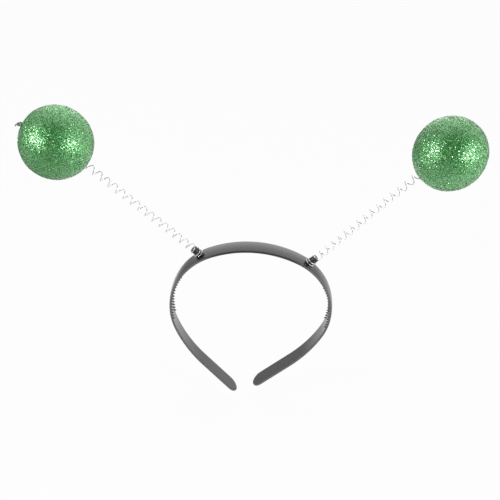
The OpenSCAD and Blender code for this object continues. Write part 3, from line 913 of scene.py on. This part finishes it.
# %% [markdown]
# ## Glue
# The wire is held by a blob of hot glue at the far side of each ball. On the left it has run out along
# the bent wire into a drip, on the right it is nearly level. It is a milky grey-green with some glitter
# stuck in it: the cells of a Voronoi pattern whose colour passes a limit are foil.

# %% Glue finish
glue_finish, start = new_finish("glue")
at = start.node("TexCoord", out="Object")
speck = start.node("TexVoronoi", {}, {"Vector": at, "Scale": 1300.0}, out="Color")
speck = start.node("SeparateColor", {}, {0: speck}, out=0)
foil = step(speck, 0.62, 0.66)
milk = mixed(noise(at, 420, 3), (0.20, 0.225, 0.20), (0.36, 0.39, 0.36))
coated(start, {
    "Base Color": mixed(foil, milk, (0.10, 0.27, 0.11)),
    "Metallic": 0.8 * foil,
    "Roughness": 0.3 + 0.15 * noise(at, 700, 2),
    "Normal": bumped(noise(at, 900, 3) + 0.5 * foil, 0.0002, 0.5),
})
print("glue finish: nodes", len(glue_finish.node_tree.nodes))

# %% [markdown]
# ## Glue plugs
# Both plugs are turned shapes round the wire whose radius waves a little, as a blob's does. The line of
# the drip starts along the wire inside the ball and turns to its bent end outside.

# %% Glue plugs
DRIP_PROFILE = np.array([[0, -3.2], [1.9, -3.2], [2.05, 1.0], [1.6, 1.9], [1.4, 3.2], [1.25, 4.3],
                         [0, 4.7]]) * MM
LEVEL_PROFILE = np.array([[0, -3.2], [1.9, -3.2], [1.95, 0.05], [1.2, 0.45], [0, 0.5]]) * MM
DRIP_ROUND, LEVEL_ROUND, ROUND_STEPS, TURN_RUN, PLUG_SIDES = 0.7 * MM, 0.5 * MM, 7, 1.2 * MM, 28
drip = rounded(DRIP_PROFILE, DRIP_ROUND, ROUND_STEPS)
level_plug = rounded(LEVEL_PROFILE, LEVEL_ROUND, ROUND_STEPS)
exits = {LEFT: on_axis(LEFT, BALL_U + BALL_R), RIGHT: ball_skin(RIGHT, np.zeros(1), np.zeros(1))[0]}
for side, profile, end_lean in ((LEFT, drip, DRIP_LEAN), (RIGHT, level_plug, TAIL_LEAN[RIGHT])):
    name = SIDE_NAMES[side]
    depth = profile[:, 1:]
    line = (exits[side] + np.minimum(depth, 0) * leaning(side, TAIL_LEAN[side])[0]
            + np.maximum(depth, 0) * leaning(side, end_lean)[0])
    turn = smooth(profile[:, 1] / TURN_RUN + 0.5)
    lean = TAIL_LEAN[side] * (1 - turn) + end_lean * turn
    points = turned(line, leaning(side, lean)[1], profile[:, 0], PLUG_SIDES)
    # Two slow waves through space, in millimetres, each about a tenth of the radius high.
    x, y, z = np.moveaxis(points / MM, -1, 0)
    wave = 0.13 * np.sin(1.7 * x + 2.3 * y) + 0.1 * np.sin(2.9 * y - 1.3 * z + 1)
    outside = (profile[:, 1] > 0)[:, None]
    points = line[:, None] + (points - line[:, None]) * (1 + wave * outside)[..., None]
    glue = make_piece(name + "_glue_blob", points, grid_faces(*points.shape[:2]), glue_finish)
    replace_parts(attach(glue, name + "_ball"), name + "_glue_plug")

# %% [markdown]
# ## Studio
# A bright sweep stands behind, which shines along the rear of the crown, and it is paler still low down.
# The rest is pale, a little more so far to the right, except the unlit room behind the camera, which
# shows as the darker middle of the balls. A picture of a real room could light it, but these few soft
# steps are all that satin plastic and foil can show. The camera itself sees white.

# %% World
SWEEP_WAY, HORIZON_WAY = (0.0, 0.85, 0.52), (0.0, 0.985, 0.17)
world = bpy.data.worlds.new("studio")
bpy.context.scene.world = world
world.use_nodes = True
world.node_tree.nodes.clear()
start = Finish(world.node_tree)
way = start.node("TexCoord", out="Generated")
seen = start.node("LightPath", out="Is Camera Ray")
right = start.node("SeparateXYZ", {}, {0: way}, out="X")


def towards(direction):
    """How far a way points in one direction: their dot product."""
    return start.node("VectorMath", {"operation": "DOT_PRODUCT"}, {0: way, 1: direction}, out="Value")


sweep = step(towards(SWEEP_WAY), 0.65, 0.95)
horizon = step(towards(HORIZON_WAY), 0.85, 0.99)
unlit = step(towards(tuple(view_back)), 0.3, 0.8)
far_right = right * right * right
mirrored = (0.68 + 0.38 * far_right + 0.75 * sweep + 0.6 * horizon) * (1 - 0.93 * unlit)
light = start.node("Background", {}, {"Color": (1, 1, 1, 1), "Strength": seen + (1 - seen) * mirrored})
start.node("OutputWorld", {}, {"Surface": light})
print("world: nodes", len(world.node_tree.nodes))

# %% [markdown]
# ## Floor
# The floor is pale, brighter to the right and in a pool behind the band, and dark under the unlit room.
# It keeps a soft shadow, and lies low enough for the tips to swing out over it. A painted floor alone
# would be grey beside the white behind it, so most of what the camera sees of it is its own glow.

# %% Floor
FLOOR_DROP, FLOOR_REACH = 8 * MM, 6.0
floor_z = solid_box[0][2] - FLOOR_DROP
POOL_AT = (-0.05, 0.22, floor_z)
floor_finish, start = new_finish("pale_floor")
seen = start.node("LightPath", out="Is Camera Ray")
shiny = start.node("LightPath", out="Is Glossy Ray")
at = start.node("TexCoord", out="Object")
right = start.node("SeparateXYZ", {}, {0: at}, out="X")
forward = start.node("SeparateXYZ", {}, {0: at}, out="Y") * -1
gap = start.node("VectorMath", {"operation": "DISTANCE"}, {0: at, 1: POOL_AT}, out="Value")
pool = 1 - step(gap, 0.08, 0.24)
mirrored = (0.50 + 0.6 * step(right, -0.4, 0.4) + 0.70 * pool) * (1 - 0.95 * step(forward, 0.05, 0.6))
paint = start.node("BsdfDiffuse", {}, {"Color": (0.86, 0.86, 0.86, 1)})
glow = start.node("Emission", {}, {"Color": (1, 1, 1, 1), "Strength": seen + (1 - seen) * mirrored})
floor_mix = start.node("MixShader", {}, {0: 0.93 * seen + 0.75 * shiny, 1: paint, 2: glow})
start.node("OutputMaterial", {}, {"Surface": floor_mix})
floor_corners = np.array([[-1, -1, 0], [1, -1, 0], [1, 1, 0], [-1, 1, 0]])
floor_points = floor_corners * FLOOR_REACH + [0, 0, floor_z]
floor = make_piece("floor", floor_points, [[0, 1, 2, 3]], floor_finish, flat=True)

# %% [markdown]
# ## Soft boxes
# Two soft boxes stand to the left and the right of the camera, which is what puts two patches of
# sparkle on each ball. They are square area lamps. A lamp shines along its own -Z, so to face the origin
# its third direction points away from it.

# %% Soft boxes
BOX_WAYS = {"left_box": (-0.833, -0.465, 0.300), "right_box": (0.788, -0.560, 0.264)}
BOX_SIZE, BOX_FAR, BOX_POWER = 0.8, 2.2, 24
for name, box_way in BOX_WAYS.items():
    lamp = bpy.data.lights.new(name, "AREA")
    lamp.size, lamp.energy = BOX_SIZE, BOX_POWER
    box = bpy.data.objects.new(name, lamp)
    bpy.context.scene.collection.objects.link(box)
    away = np.array(box_way) / np.linalg.norm(box_way)
    beside = np.cross([0, 0, 1], away)
    beside /= np.linalg.norm(beside)
    place = away * BOX_FAR
    box.matrix_world = placed(beside, np.cross(away, beside), away, place)
    print(name, np.round(place, 2))

# %% [markdown]
# ## Finish
# The picture is shown as it is lit, with no film curve, and the box of the solids is printed.

# %% Finish
bpy.context.scene.view_settings.view_transform = "Standard"
print("solids", [[round(x, 4) for x in v] for v in solid_box])
